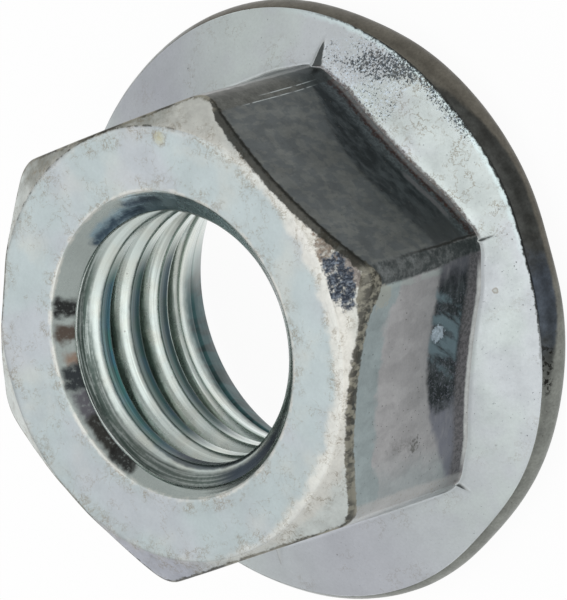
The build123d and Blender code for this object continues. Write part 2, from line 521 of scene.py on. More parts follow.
# ---------------------------------------------------------------- the mesh
def column_angles():
    """Angles of the columns: every serration's edges, steps of about a degree, and close ones over the fins."""
    period = 360 / TOOTH_COUNT
    crest, root = CREST_ANGLE / 2, CREST_ANGLE / 2 + STEEP_ANGLE
    shares = [-crest, 0.0, crest, root] + between(root, period - crest, 8)
    angles = {round(tooth * period + share, 6) for tooth in range(TOOTH_COUNT) for share in shares}
    for corner in range(0, 360, SIDE_ANGLE):
        angles.update(round(corner + share, 6) for share in FIN_COLUMNS)
    angles = sorted(angles)
    return angles + [angles[0] + 360]


def forged(point, angle, zone):
    """A point moved into the metal by the forging's unevenness, which spares the bearing side and the bore."""
    place = Vector(point)
    swell = SWELL * noise.noise(place / SWELL_SPAN) + RIPPLE * noise.noise(place / RIPPLE_SPAN)
    inward = FORGED_SHARES.get(zone, 0.0) * (SWELL + RIPPLE - swell) / 2
    if zone in ("flat", "chamfer", "rim"):
        place -= direction(angle) * inward
    if zone in ("flange", "chamfer", "face"):
        place.z -= inward
    return place


def traits(angle, radius, height, zone):
    """What the materials read at a point: its side's colour, which holds painted shade, and distances in millimetres to
    edges and the like.
    """
    place = (radius, height)
    side = int(angle // SIDE_ANGLE) % len(SIDE_SHADES)
    foot = foot_at(angle)
    rise = crest_rise(angle, height)
    fin = fin_rise(radius, angle) if zone == "flange" else 0.0
    return {
        "crown_mm": radius - chamfer_circle(angle) if zone in ("chamfer", "face") else FAR,
        "shoulder_mm": math.dist(place, shoulder_at(angle)),
        "mouth_mm": math.dist(place, (COUNTERSINK_RADIUS, HEIGHT)),
        "rim_mm": math.dist(place, rim_top(angle)),
        "foot_mm": math.dist(place, foot) if zone in ("flat", "flange") else FAR,
        "hollow_mm": height - foot[1] - hollow_at(angle),
        "corner_mm": abs(math.radians(from_corner(angle))) * radius,
        "fin_mm": fin,
        "fin_lee_mm": fin if from_corner(angle) < 0 else 0.0,
        "crest_mm": abs(rise),
        "crest_rise_mm": rise,
        "cone_mm": cone_radius(height) - tapped_radius(angle, height),
        "side": (*SIDE_SHADES[side], 1.0),
    }


def build_nut():
    """The nut's skin, closed round the axis and through the bore."""
    angles = column_angles()
    columns = [section(angle) for angle in angles]
    rows = len(columns[0])
    points = [(angle, *point) for angle, column in zip(angles, columns) for point in column]
    vertices = [
        forged(place_point(radius, height, angle, zone), angle, zone) * MM for angle, radius, height, zone in points
    ]
    faces = []
    for left in range(0, (len(angles) - 1) * rows, rows):
        for row in range(rows):
            following = (row + 1) % rows
            faces.append((left + row, left + rows + row, left + rows + following, left + following))
    mesh = bpy.data.meshes.new("flange_nut_skin")
    mesh.from_pydata(vertices, [], faces)
    zone_rows = [ZONES.index(zone) for _, _, zone in columns[0]]
    mesh.polygons.foreach_set("material_index", zone_rows * (len(angles) - 1))
    carried = [traits(*point) for point in points]
    for name, sample in carried[0].items():
        kind, part = ("FLOAT_COLOR", "color") if isinstance(sample, tuple) else ("FLOAT", "value")
        layer = mesh.attributes.new(name, kind, "POINT")
        layer.data.foreach_set(part, np.ravel([trait[name] for trait in carried]))
    work = bmesh.new()
    work.from_mesh(mesh)
    bmesh.ops.remove_doubles(work, verts=work.verts, dist=MERGE_METRES)
    bmesh.ops.dissolve_degenerate(work, dist=MERGE_METRES, edges=work.edges)
    bmesh.ops.recalc_face_normals(work, faces=work.faces)
    work.to_mesh(mesh)
    work.free()
    mesh.shade_smooth()
    nut = bpy.data.objects.new("flange_nut_skin", mesh)
    bpy.context.collection.objects.link(nut)
    return nut


# ---------------------------------------------------------------- places on the nut
def on_flat(angle, down):
    """A place on a side of the hexagon, `down` below its shoulder."""
    height = shoulder_at(angle)[1] - down
    return place_point(flank_reach(angle, height), height, angle, "flat")


def on_top(angle, radius):
    """A place on the top face, or on the chamfer beyond it."""
    beyond = max(0.0, radius - chamfer_circle(angle))
    return place_point(radius, HEIGHT - beyond * math.tan(math.radians(CHAMFER_ANGLE)), angle, "face")


def on_flange(angle, inward):
    """A place on the coned top, `inward` of the rim's edge."""
    radius = rim_top(angle)[0] - inward
    return place_point(radius, coned_top(radius), angle, "flange")


# ---------------------------------------------------------------- node trees in short calls
class Value:
    """What a node tree works out at each point. Arithmetic adds nodes to the tree; `|` is the larger of two."""

    def __init__(self, nodes, socket):
        self.nodes = nodes
        self.socket = socket

    def __add__(self, other):
        return self.nodes.math("ADD", self, other)

    def __sub__(self, other):
        return self.nodes.math("SUBTRACT", self, other)

    def __rsub__(self, other):
        return self.nodes.math("SUBTRACT", other, self)

    def __mul__(self, other):
        return self.nodes.math("MULTIPLY", self, other)

    def __or__(self, other):
        return self.nodes.math("MAXIMUM", self, other)

    def __abs__(self):
        return self.nodes.math("ABSOLUTE", self)

    def ramp(self, low, high, least=0.0, most=1.0):
        """A smooth change from `least` where this is `low` to `most` where it is `high`."""
        limits = {"From Min": low, "From Max": high, "To Min": least, "To Max": most}
        return self.nodes.node("MapRange", "Result", {"Value": self, **limits}, interpolation_type="SMOOTHSTEP")

    def band(self, low, high, soft):
        """1 where this lies between two limits, 0 outside them."""
        return self.ramp(low - soft, low + soft) * self.ramp(high + soft, high - soft)

    def ragged(self, reach, span=0.5, start=(0, 0, 0), rough=0.65):
        """This, shifted by noise so that an edge strays by up to about `reach`, in lumps of `span` millimetres."""
        return self + self.nodes.wander(reach, span, start, rough)


class Nodes:
    """A node tree."""

    def __init__(self, tree):
        self.tree = tree

    def wire(self, value, socket):
        if isinstance(value, Value):
            self.tree.links.new(value.socket, socket)
        elif socket.type == "RGBA":
            socket.default_value = (*value, 1.0)
        else:
            socket.default_value = value

    def node(self, kind, output, inputs=(), **settings):
        """An output of a new node; its inputs are values, numbers or colours, by name or by place."""
        node = self.tree.nodes.new("ShaderNode" + kind)
        for name, value in settings.items():
            setattr(node, name, value)
        for name, value in dict(inputs).items():
            self.wire(value, node.inputs[name])
        return Value(self, node.outputs[output])

    def math(self, operation, *values):
        return self.node("Math", 0, enumerate(values), operation=operation)

    def vector(self, operation, first, second):
        output = "Value" if operation == "DISTANCE" else "Vector"
        place = "Scale" if operation == "SCALE" else 1
        return self.node("VectorMath", output, {0: first, place: second}, operation=operation)

    def mix(self, share, under, over, blend="MIX"):
        return self.node("Mix", "Result", {"Factor": share, "A": under, "B": over}, data_type="RGBA", blend_type=blend)


class Plate(Nodes):
    """A zinc material, whose colour is painted on in layers. Its place is in millimetres from the part's origin."""

    def __init__(self, name):
        self.material = bpy.data.materials.new(name)
        self.material.use_nodes = True
        super().__init__(self.material.node_tree)
        self.place = self.vector("SCALE", self.node("TexCoord", "Object"), 1 / MM)
        x, y, self.height = (self.node("SeparateXYZ", axis, {"Vector": self.place}) for axis in "XYZ")
        self.angle = self.math("DEGREES", self.math("ARCTAN2", y, x))
        self.colour = None

    def paint(self, tone, share):
        """Lays a colour over the one so far, where and as far as the share says."""
        self.colour = self.mix(share, self.colour, tone)

    def scale(self, colour, amount):
        return self.vector("SCALE", colour, amount)

    def attribute(self, name, output="Fac"):
        return self.node("Attribute", output, attribute_name=name)

    def noise(self, span, detail=3.0, rough=0.55, stretch=(1, 1, 1), start=(0, 0, 0)):
        """Noise from 0 to 1 whose largest lumps are about `span` millimetres, times `stretch` along each axis."""
        place = self.vector("ADD", self.vector("DIVIDE", self.place, stretch), start)
        return self.node("TexNoise", "Fac", {"Scale": 1 / span, "Detail": detail, "Roughness": rough, "Vector": place})

    def wander(self, reach, span=0.5, start=(0, 0, 0), rough=0.65):
        """Noise round zero that goes to about `reach` either way."""
        return (self.noise(span, 4, rough, start=start) - 0.5) * (3 * reach)

    def lines(self, across, fineness, drift=0.15, start=0.0):
        """Noise that changes fast with `across` and slowly over the part, as tool marks do."""
        across = self.node("CombineXYZ", "Vector", {"X": across * fineness + start})
        place = self.vector("ADD", self.vector("SCALE", self.place, drift), across)
        return self.node("TexNoise", "Fac", {"Scale": 1.0, "Detail": 3.0, "Vector": place})

    def contour(self, span, start, width):
        """Thin wandering closed lines, as dried drops leave."""
        return abs(self.noise(span, 5, 0.7, start=start) - 0.5).ramp(width, 0.0)

    def pitting(self, span, share, start):
        """Scattered pin holes: 1 inside one. `share` is how much of the surface has them, from 0 to 1."""
        place = self.vector("ADD", self.place, start)
        cells = self.node("TexVoronoi", "Distance", {"Scale": 1 / span, "Vector": place})
        clustered = self.noise(span * 4, 2, start=start).ramp(1 - share, 1 - share + 0.08)
        return cells.ragged(0.03, 0.1).ramp(0.13, 0.07) * clustered

    def off(self, azimuth):
        """Degrees round the axis from a direction."""
        return abs(self.math("WRAP", self.angle - azimuth, 180.0, -180.0))

    def sector(self, azimuth, spread, soft=1.0, wander=0.0):
        """1 within `spread` degrees of a direction, 0 further round the axis."""
        return (self.off(azimuth) + wander).ramp(spread + soft, spread - soft)

    def away(self, centre, stretch=(1, 1, 1)):
        """Distance from a place, measured short by `stretch` along each axis."""
        offset = self.vector("DIVIDE", self.vector("SUBTRACT", self.place, centre), stretch)
        return self.vector("DISTANCE", offset, (0, 0, 0))

    def spot(self, centre, radius, ragged=0.5, stretch=(1, 1, 1)):
        """1 inside a ragged-edged patch round a place, 0 outside it; `stretch` lengthens it along the axes."""
        return self.away(centre, stretch).ragged(ragged * radius, radius * 0.6).ramp(radius, radius * 0.75)

    def mottled(self, colour, lumps, grain, span=1.6):
        """A colour with cloudy lumps and fine grain, each a share of its brightness."""
        cloud = self.noise(span, 5, 0.6, start=(0, 70, 0)).ramp(0.3, 0.7, 1 - lumps, 1 + lumps)
        return self.scale(colour, cloud * self.noise(0.12, 2, 0.6).ramp(0.3, 0.7, 1 - grain, 1 + grain))

    def clouded(self, low, high):
        """Roughness that varies in clouds."""
        return self.noise(0.9, 4, 0.6, start=(5, 5, 5)).ramp(0.3, 0.7, low, high)

    def relief(self, depth, span, marks):
        """Fine lumps, with the marks sunk into them."""
        return self.noise(span, 5, 0.6, start=(3, 8, 2)) * depth + marks * -MARK_DEPTH

    def finish(self, rough, relief):
        """The material, with its colour, roughness and relief."""
        bump = self.node("Bump", "Normal", {"Distance": MM, "Strength": BUMP_STRENGTH, "Height": relief})
        shader = self.tree.nodes["Principled BSDF"]
        for name, value in (("Base Color", self.colour), ("Roughness", rough), ("Normal", bump), ("Metallic", 1.0)):
            self.wire(value, shader.inputs[name])
        return self.material


# ---------------------------------------------------------------- the zinc plate
def worn_lip(g, reach, width, most):
    """The bore's mouth, worn bright in places over a width that strays by `reach`."""
    lip = g.attribute("mouth_mm").ragged(reach, 0.4).ramp(width, 0.06)
    return lip * g.noise(0.9, 3, start=(0, 0, 2)).ramp(0.4, 0.56, 0.1, most)


def paint_shoulder(g, on_chamfer):
    """The worn, dirty turn between the chamfer and a side: black beside the shaded side, which is painted shade, and
    ticked on the next.
    """
    shoulder = g.attribute("shoulder_mm")
    shaded, facing = g.sector(29, 27, 1.5), g.sector(-30, 30, 1.5)
    tick = g.noise(0.3, 3, 0.6, (2.5, 1, 1.2), (4, 0, 2)).ramp(0.4, 0.56)
    olive = g.mix(tick * g.noise(1.5, 2, start=(0, 9, 0)).ramp(0.3, 0.5), SHOULDER_PALE, SHOULDER_DARK)
    black_tone = g.mix(g.noise(0.2, 3, 0.7).ramp(0.46, 0.74), SHOULDER_SHADE_BLACK, SHOULDER_DARK)
    reach = facing * 0.12 + shaded * (0.26 if on_chamfer else 0.0) + g.sector(-3, 4, 4) * 0.4 + 0.14
    strip = (shoulder.ragged(0.12, 0.25, (2, 0, 7)) - reach).ramp(0.05, -0.06)
    # Beside the shaded side the strip and a line along the shoulder are black: painted shade.
    g.paint(g.mix(shaded, olive, black_tone), strip * 0.9)
    g.paint(DIRT_AND_SHADE_COLOUR, shoulder.ragged(0.06, 0.2).ramp(0.12, 0.02) * shaded * 0.8)


def paint_bruise(g):
    """The bruised corner: blue-black with fine silver flecks, mauve and brown toward the shaded side."""
    margin = g.spot(on_top(*MARGIN_AT), 0.55, 0.5, (1.0, 1.6, 1.0))
    g.paint(g.mottled(BRUISE_MAUVE, 0.3, 0.15, 0.3), margin * g.noise(0.2, 4, 0.7).ramp(0.3, 0.5, 0.4, 0.9))
    rusty = g.spot(on_top(*RUST_AT), 0.5, 0.9, (1.0, 2.2, 1.0))
    g.paint(g.mottled(RUST_BROWN, 0.4, 0.3, 0.4), rusty * g.noise(0.25, 4, 0.7).ramp(0.35, 0.6, 0.3, 0.85))
    flecks = g.noise(0.12, 4, 0.7, (1.6, 1.0, 1.6), (0, 0, 12)).ramp(0.44, 0.66)
    flecks = flecks * g.noise(0.6, 3, 0.6, start=(3, 0, 12)).ramp(0.35, 0.6, 0.35, 0.95)
    black_tone = g.mix(g.noise(0.3, 3), BRUISE_INK, BRUISE_BLUE)
    bruise = g.spot(on_top(*BRUISE_AT), 0.72, 0.55, (1.0, 1.9, 1.0))
    g.paint(g.mix(flecks, black_tone, BRUISE_FLECK), bruise * g.noise(0.25, 4, 0.75, start=(0, 8, 12)).ramp(0.28, 0.5))


def face_plate(chamfer):
    """The turned top face, or the chamfer round it: blue-white zinc, cream and worn along its edges."""
    g = Plate("zinc_chamfer" if chamfer else "zinc_face")
    crown, mouth = abs(g.attribute("crown_mm")), g.attribute("mouth_mm")
    warm_side = g.sector(-18, 62, 30)
    if chamfer:
        # Darker round 96: painted shade.
        shaded = g.sector(96, 25, 9, g.wander(9, 0.9)) * g.noise(1.1, 4, 0.6, start=(0, 50, 0)).ramp(0.3, 0.6, 0.6, 1.0)
        pale = g.mix(g.sector(-6, 40, 14) | g.sector(60, 12, 4), CHAMFER_COLOUR, CREAM_COLOUR)
        pale = g.mix(g.sector(236, 20, 10), pale, CHAMFER_LILAC)
        g.colour = g.mottled(g.mix(shaded, pale, CHAMFER_SHADE), 0.1, 0.03, 0.8)
    else:
        cream = g.noise(2.8, 4, 0.5, start=(40, 0, 0)).ramp(0.5, 0.68) * 0.45
        violet = g.noise(4.0, 2, 0.5, start=(0, 0, 25)).ramp(0.45, 0.65, 0.0, 0.6)
        colour = g.mix(violet, g.mix(cream, FACE_COLOUR, CREAM_COLOUR), VIOLET_COLOUR)
        # Darker toward -110: painted shade.
        g.colour = g.mottled(g.scale(colour, g.off(-110).ramp(30, 90, 0.93, 1.0)), 0.03, 0.025)

    # Worn bright along the crown, most where it faces the warm side, and round the bore's mouth.
    worn = (crown.ragged(0.34, 0.9, (0, 4, 0), 0.6) - (warm_side * 0.42 + 0.1)).ramp(0.2, -0.22)
    worn = worn * (warm_side * 0.5 + 0.4) | worn_lip(g, 0.1, 0.18, 0.7)
    g.paint(g.mottled(WORN_COLOUR, 0.06, 0.035, 0.5), worn * 0.85)

    # Brown outlines of old stains beside those edges, and a few elsewhere.
    beside = crown.ragged(0.3, 0.7).band(0.0, 0.7, 0.2) | mouth.ragged(0.2, 0.7).band(0.0, 0.6, 0.15)
    outline = g.contour(0.6, (6, 0, 1), 0.03) | g.contour(0.22, (1, 5, 0), 0.03) * 0.6
    g.paint(STAIN_BROWN, outline * beside * g.noise(0.8, 3, start=(0, 3, 12)).ramp(0.46, 0.6, 0.08, 1.0) * 0.75)
    elsewhere = g.contour(1.9, (9, 2, 0), 0.009) * g.noise(1.6, 2, start=(8, 0, 0)).ramp(0.4, 0.54)
    g.paint(STAIN_BROWN, elsewhere * 0.45)
    crown_line = crown.ragged(0.04, 0.3).ramp(0.07, 0.02) * g.sector(98, 34, 8)
    g.paint(SHOULDER_DARK, crown_line * g.noise(0.35, 4, 0.65, start=(0, 0, 9)).ramp(0.45, 0.6) * 0.75)
    crust = g.away(on_top(*CRUST_AT)).ragged(0.2, 0.2)
    g.paint(STAIN_YELLOW, crust.ramp(0.36, 0.2) * g.noise(0.2, 3).ramp(0.35, 0.6, 0.3, 0.7))
    g.paint(STAIN_BROWN, crust.band(0.3, 0.38, 0.05) * g.noise(0.4, 3).ramp(0.4, 0.6, 0.1, 0.7))
    if chamfer:
        paint_bruise(g)

    scratch = g.noise(1.0, 2, 0.5, (0.05, 2.6, 1), (3, 3, 0)).ramp(0.71, 0.74)
    g.paint(SCRATCH_COLOUR, scratch * 0.16)
    pits = g.pitting(0.7, 0.36, (8, 1, 0))
    if chamfer:
        pits = pits | g.pitting(0.28, 0.6, (0, 1, 8)) * shaded
    g.paint(PIT_COLOUR, pits * 0.45)
    paint_shoulder(g, True)
    return g.finish(g.clouded(0.3, 0.4), g.relief(0.005, 0.7, pits + scratch))


def paint_corners(g, side, foot):
    """The rounded corners: two dark ones in painted shade, with a crease and long scratches, and four pale, speckled
    ones.
    """
    pale = (g.attribute("corner_mm").ragged(0.1, 0.4) + g.sector(-60, 6) * -0.3).ramp(0.42, 0.2)
    speck = g.noise(0.13, 3, 0.7, start=(7, 0, 0)).ramp(0.56, 0.66)
    g.paint(g.mix(speck * 0.6, g.mix(0.6, side, PALE_CORNER), STAIN_BROWN), pale * 0.7)

    # The corner at 0, dark in painted shade, with a pale green painted highlight beside it.
    green = g.angle.ragged(0.5, 0.8, (0, 0, 5)).band(-4.6, -3.2, 0.4)
    g.paint(PALE_GREEN, green * foot.ramp(2.3, 3.0) * g.noise(1.2, 3).ramp(0.35, 0.6) * 0.6)
    dark = g.sector(-0.6, 2.7, 0.4, g.wander(0.55, 0.7, (0, 0, 5)) + foot.ramp(0.5, 4.0, 1.0, 0.0))
    tone = g.noise(0.35, 4, 0.7, start=(0, 0, 7)) + foot.ramp(6.0, 2.0, 0.0, 0.1)
    g.paint(g.mottled(g.mix(tone.ramp(0.36, 0.7), CORNER_GREY, CORNER_SHADE), 0.15, 0.15, 0.5), dark)
    # A dark crease down the corner: painted dirt and shade.
    crease = abs((g.angle - 1.7).ragged(0.4, 0.8)).ramp(0.5, 0.1)
    g.paint(DIRT_AND_SHADE_COLOUR, crease * foot.ramp(6.5, 2.5) * 0.85)

    # The corner at 60: a dark band of painted shade, and long scratches.
    dark = g.sector(57.4, 3.0, 0.35, g.wander(0.5, 0.6, (0, 6, 5)))
    tone = g.mix(foot.ragged(0.6, 0.8).ramp(1.5, 2.6), CORNER_SHADE, CORNER_OLIVE)
    g.paint(g.mottled(tone, 0.25, 0.15, 0.5), dark * 0.9)
    for azimuth, low, high in CORNER_SCRATCHES:
        line = abs((g.angle - azimuth).ragged(0.05, 1.2)).ramp(0.16, 0.06) * foot.band(low, high, 0.5)
        g.paint(WHITE_SCRATCH, line * g.noise(0.5, 3, start=(azimuth, 0, 0)).ramp(0.3, 0.5) * 0.8)


def paint_hollow(g, side, shaded, facing):
    """The hollow at a side's foot, dark with painted reflection: black and marbled in places, dull violet or grey in
    others.
    """
    fade = (shaded | facing) * -0.4 + 0.6   # millimetres to either side of the hollow's upper edge
    hollow = g.attribute("hollow_mm").ragged(0.2, 0.7, (0, 33, 0)).ramp(fade, fade * -1.0)
    along = g.noise(0.45, 5, 0.65, (2.6, 2.6, 0.8), (11, 0, 4)).ramp(0.42, 0.72)
    marble = g.noise(0.8, 4, 0.6, (1.3, 1.3, 0.8), (2, 0, 4)).ramp(0.45, 0.7)
    black_tone = g.mix((along | marble) * 0.7, HOLLOW_SHADE_BLACK, HOLLOW_SHEEN)
    violet = g.scale(HOLLOW_VIOLET, g.angle.ramp(-20, -8, 1.0, 0.5))
    dull = g.mix(along * 0.35, g.mix(facing * 0.85, g.scale(side, 0.6), violet), side)
    deep = g.sector(-22.5, 16.5, 2.5, g.wander(3, 0.6)) | g.sector(36, 27, 6, g.wander(6, 0.9))
    speck = g.noise(0.1, 3, 0.65, start=(0, 5, 5)).ramp(0.52, 0.62)
    speck = speck * (g.sector(-32, 8, 3) | g.sector(-22, 14, 3) * 0.7) * 0.5
    g.paint(g.mix(speck, g.mix(deep, dull, black_tone), HOLLOW_VIOLET), hollow)


def flat_plate():
    """A hexagon's side: dull and smoky, its colour holding painted shade, dark with painted reflection in the hollow at
    its foot, with a dotted strip below that.
    """
    g = Plate("zinc_flat")
    foot, side = g.attribute("foot_mm"), g.attribute("side", "Color")
    shaded, facing = g.sector(30, 30, 0.5), g.sector(-30, 30, 0.5)

    # The side itself: a greenish strip under the shoulder, smears, and warm patches on the shaded side.
    green = (g.attribute("shoulder_mm").ragged(0.5, 1.1) + g.angle.ramp(-12, -4, 0.0, -0.5)).ramp(1.8, 1.4)
    green = green | g.angle.ragged(3, 1.0).ramp(-46, -56, 0.0, 0.6)
    smears = g.noise(1.5, 3, 0.5, (1.5, 0.5, 0.9), (20, 0, 0)).ramp(0.42, 0.58, 0.93, 1.06)
    g.colour = g.mottled(g.scale(g.mix(green * facing * 0.9, side, GREEN_STRIP), smears), 0.07, 0.035, 2.0)
    patch = g.noise(0.9, 4, 0.55, (0.7, 1.4, 0.8), (3, 30, 0)).ramp(0.48, 0.58)
    patch = patch + g.noise(0.6, 3, 0.5, (1.6, 0.5, 1.1), (9, 3, 0)).ramp(0.5, 0.6)
    g.paint(g.mix(1.0, g.colour, PATCH_WARMTH, "MULTIPLY"), patch * shaded * 0.7)
    rolled = g.noise(0.5, 4, 0.6, (3.0, 3.0, 0.6), (0, 0, 30)).ramp(0.34, 0.66, 0.8, 1.2)
    g.paint(g.scale(g.colour, rolled), g.sector(90, 30, 0.5))

    # The hollow, dark with painted reflection, with blue strokes across it and one bright smear.
    paint_hollow(g, side, shaded, facing)
    slant = g.angle + foot * -4.0 + 27.0   # degrees from a line that slants up the side
    strokes = g.lines(slant, 0.3, 0.6, 3.0).ramp(0.4, 0.6)
    g.paint(SMEAR_BLUE, strokes * (abs(slant.ragged(3.0, 0.5)).ramp(10.0, 6.0) * foot.band(0.95, 2.8, 0.12)) * 0.85)
    smear = g.spot(on_flat(*SMEAR_AT), 0.34, 0.6, (1, 1.3, 1.3))
    g.paint(g.mottled(SMEAR_PALE, 0.3, 0.15, 0.3), smear * 0.85)

    # The strip at the foot, dotted, with a thin painted glint, the corners, and a painted highlight on the turn into
    # the flange.
    dots = g.noise(0.13, 3, 0.6, start=(0, 9, 0)).ramp(0.4, 0.6, 0.7, 1.15)
    strip_colour = g.mix(shaded, g.mix(facing, g.scale(side, 0.62), STRIP_GREY), HOLLOW_SHEEN)
    g.paint(g.scale(strip_colour, dots), foot.ragged(0.1, 0.4).ramp(1.0, 0.66) * 0.9)
    # A thin grey line across the shaded side's strip: a painted glint.
    g.paint(STRIP_GREY, g.sector(15, 7.5, 1.5) * foot.ragged(0.04, 0.4).band(0.62, 0.85, 0.06) * 0.6)
    # A dark brown line at the foot of the shaded side: painted shade.
    brown_line = foot.ragged(0.24, 0.15).band(0.1, 0.45, 0.08) * shaded
    brown_line = brown_line * g.noise(0.14, 3, 0.7, start=(0, 0, 6)).ramp(0.36, 0.56, 0.35, 1.0)
    g.paint(g.mix(g.noise(0.25, 3), HOLLOW_SHADE_BLACK, FOOT_SHADE_BROWN), brown_line)
    paint_corners(g, side, foot)
    # The turn into the flange is lightened, less on the shaded side: painted highlight.
    turn_highlight = foot.ragged(0.05, 0.3).ramp(0.3, 0.18) * g.attribute("corner_mm").ramp(0.5, 1.6)
    g.paint(g.mottled(FOOT_HIGHLIGHT, 0.12, 0.06, 0.4), turn_highlight * (shaded * -0.7 + 0.85))

    # A smudge, a stain, scratches and pits.
    g.paint(STAIN_PALE, g.spot(on_flat(*SMUDGE_AT), 0.6, 0.6, (1, 1, 1.3)) * 0.6)
    stain = g.spot(on_flat(*STAIN_AT), 0.3, 1.2, (1, 1.4, 1.0))
    stain = stain | g.spot(on_flat(*STAIN_TAIL_AT), 0.4, 1.2, (1, 0.8, 2.2)) * 0.5
    g.paint(CORNER_OLIVE, stain * g.noise(0.12, 2, 0.5).ramp(0.4, 0.62, 0.15, 0.8))
    g.paint(g.scale(side, 1.3), g.noise(0.8, 2, 0.5, (0.5, 0.5, 0.04), (3, 3, 0)).ramp(0.7, 0.74) * 0.2)
    pits = g.pitting(0.3, 0.56, (4, 9, 0)) | g.pitting(0.24, 0.7, (9, 4, 0)) * g.sector(-44, 12, 4)
    g.paint(PIT_COLOUR, pits * 0.75)
    paint_shoulder(g, False)
    return g.finish(g.clouded(0.3, 0.42), g.relief(0.025, 0.6, pits))


def flange_plate():
    """The flange's coned top: bright smooth zinc, peppered with pits in one place."""
    g = Plate("zinc_flange")
    rim, foot, fin = g.attribute("rim_mm"), g.attribute("foot_mm"), g.attribute("fin_mm")
    violet = g.noise(4.0, 3, 0.5, start=(0, 3, 0)).ramp(0.45, 0.62, 0.0, 0.6)
    # Violet in clouds and toward -98, a darker lilac toward 110 and blue toward 142; the tints by direction are painted
    # reflection.
    g.colour = g.mix(violet | g.sector(-98, 24, 22), FLANGE_COLOUR, FLANGE_VIOLET)
    g.paint(FLANGE_LILAC, g.sector(110, 14, 14) * 0.7)
    g.paint(FLANGE_BLUE, g.sector(142, 8, 8))
    g.colour = g.mottled(g.colour, 0.035, 0.03)

    # A swath of black pits and pale flecks that runs in from the rim, and on along it.
    lane = g.angle + rim * -7.5 - 38.0   # degrees from a line that slants across the flange
    swath = abs(lane.ragged(4.0, 0.8)).ramp(9.0, 2.5) * rim.ramp(2.4, 1.4)
    swath = swath | g.sector(31, 12, 4) * rim.ragged(0.25, 0.5).ramp(0.8, 0.25) * 0.9
    halo = (g.spot(on_flange(*PEPPER_AT), 2.4, 0.6) | g.spot(on_flange(*PEPPER_TAIL_AT), 0.9, 0.9)) * 0.45
    core = g.sector(45, 7, 3, g.wander(3, 0.5)) * rim.ragged(0.3, 0.4).band(0.2, 1.0, 0.2)
    black = (g.noise(0.1, 4, 0.75, start=(0, 2, 0)) + (swath | halo) * 0.178 + core * 0.035).ramp(0.65, 0.71)
    # A pale cyan band just inside the rim's edge toward 32: painted highlight.
    g.paint(FLANGE_CYAN, rim.ragged(0.15, 0.5).ramp(0.34, 0.12) * g.sector(32, 34, 12) * 0.7)
    g.paint(FLANGE_BLUE, g.noise(0.1, 2, 0.6, start=(9, 2, 0)).ramp(0.55, 0.62) * (swath | halo * 2.0) * 0.8)
    g.paint(PEPPER_COLOUR, black * 0.9)

    # Pits elsewhere, a crater, and the outlines of stains.
    pits = g.pitting(0.26, 0.75, (2, 6, 4)) * g.sector(-6, 13, 3) * rim.ramp(1.1, 0.6)
    pits = pits | g.pitting(0.5, 0.4, (4, 2, 6))
    g.paint(PIT_COLOUR, pits * 0.6)
    crater = g.away(on_flange(*CRATER_AT)).ragged(0.05, 0.15)
    g.paint(STAIN_BROWN, crater.ramp(0.16, 0.1, 0.0, 0.6))
    g.paint(FLANGE_COLOUR, crater.ramp(0.08, 0.04, 0.0, 0.5))
    veined = g.noise(2.6, 2).ramp(0.5, 0.62, 0.0, 0.4) | g.sector(20, 20, 6) * g.noise(0.9, 2).ramp(0.36, 0.56)
    g.paint(STAIN_BROWN, g.contour(0.9, (6, 6, 1), 0.022) * veined * 0.75)

    # Painted shade and light: the rim's turn is dark toward 19 degrees, with a chewed edge; the fins are lightened and
    # dark in their lee; the flange is lightened beside the shaded side's foot, against that side's dark reflection; and
    # the foot there has a dark line.
    rim_shade = g.sector(19, 43, 8) * rim.ragged(0.1, 0.25, (0, 0, 3)).ramp(0.12, 0.03)
    g.paint(g.mottled(RIM_SHADE_BLACK, 0.3, 0.3, 0.4), rim_shade)
    g.paint(FOOT_HIGHLIGHT, fin.ramp(0.0, 0.05) * 0.55)
    lee = g.attribute("fin_lee_mm") | fin * g.sector(-60, 3) * 0.4 | fin * g.sector(0, 3) * 0.8
    g.paint(CORNER_SHADE, lee.ragged(0.02, 0.2).ramp(0.01, 0.05) * 0.9)
    mirrored = foot.ramp(0.75, 0.15) * g.sector(30, 27, 3)
    g.colour = g.scale(g.colour, mirrored * 0.2 + 1.0)
    g.paint(FOOT_SHADE_BROWN, foot.ragged(0.1, 0.15).ramp(0.16, 0.06) * g.sector(30, 29, 1) * 0.75)
    return g.finish(g.clouded(0.32, 0.42), g.relief(0.01, 0.7, pits + black))


def rim_plate():
    """The flange's trimmed edge in painted shade: brown-grey where it faces out, browner toward 42, paler beyond, and
    dark over its upper turn there.
    """
    g = Plate("zinc_rim")
    colour = g.mix(g.sector(0, 105, 15), RIM_PALE, g.mix(g.sector(42, 58, 14), RIM_COLOUR, RIM_BROWN))
    g.colour = g.mottled(colour, 0.14, 0.1, 0.9)
    upper = (g.height.ragged(0.07, 0.6, (0, 4, 0)) + g.off(-2).ramp(9, 40, 0.0, -0.6)).ramp(1.32, 1.5)
    black_tone = g.mix(g.sector(-15, 8, 5, g.wander(4, 0.5)), RIM_SHADE_BLACK, RIM_BLUE)
    g.paint(g.mottled(black_tone, 0.3, 0.1, 0.6), upper * g.sector(14, 45, 8) * 0.9)
    nick = g.sector(-28, 5, 2) * g.noise(0.22, 3, 0.6, start=(0, 0, 4)).ramp(0.5, 0.58)
    g.paint(DIRT_AND_SHADE_COLOUR, nick * g.height.ramp(1.6, 1.8))
    pits = g.pitting(0.3, 0.6, (4, 2, 6))
    g.paint(PIT_COLOUR, pits * 0.55)
    return g.finish(g.clouded(0.34, 0.46), g.relief(0.025, 0.5, pits))


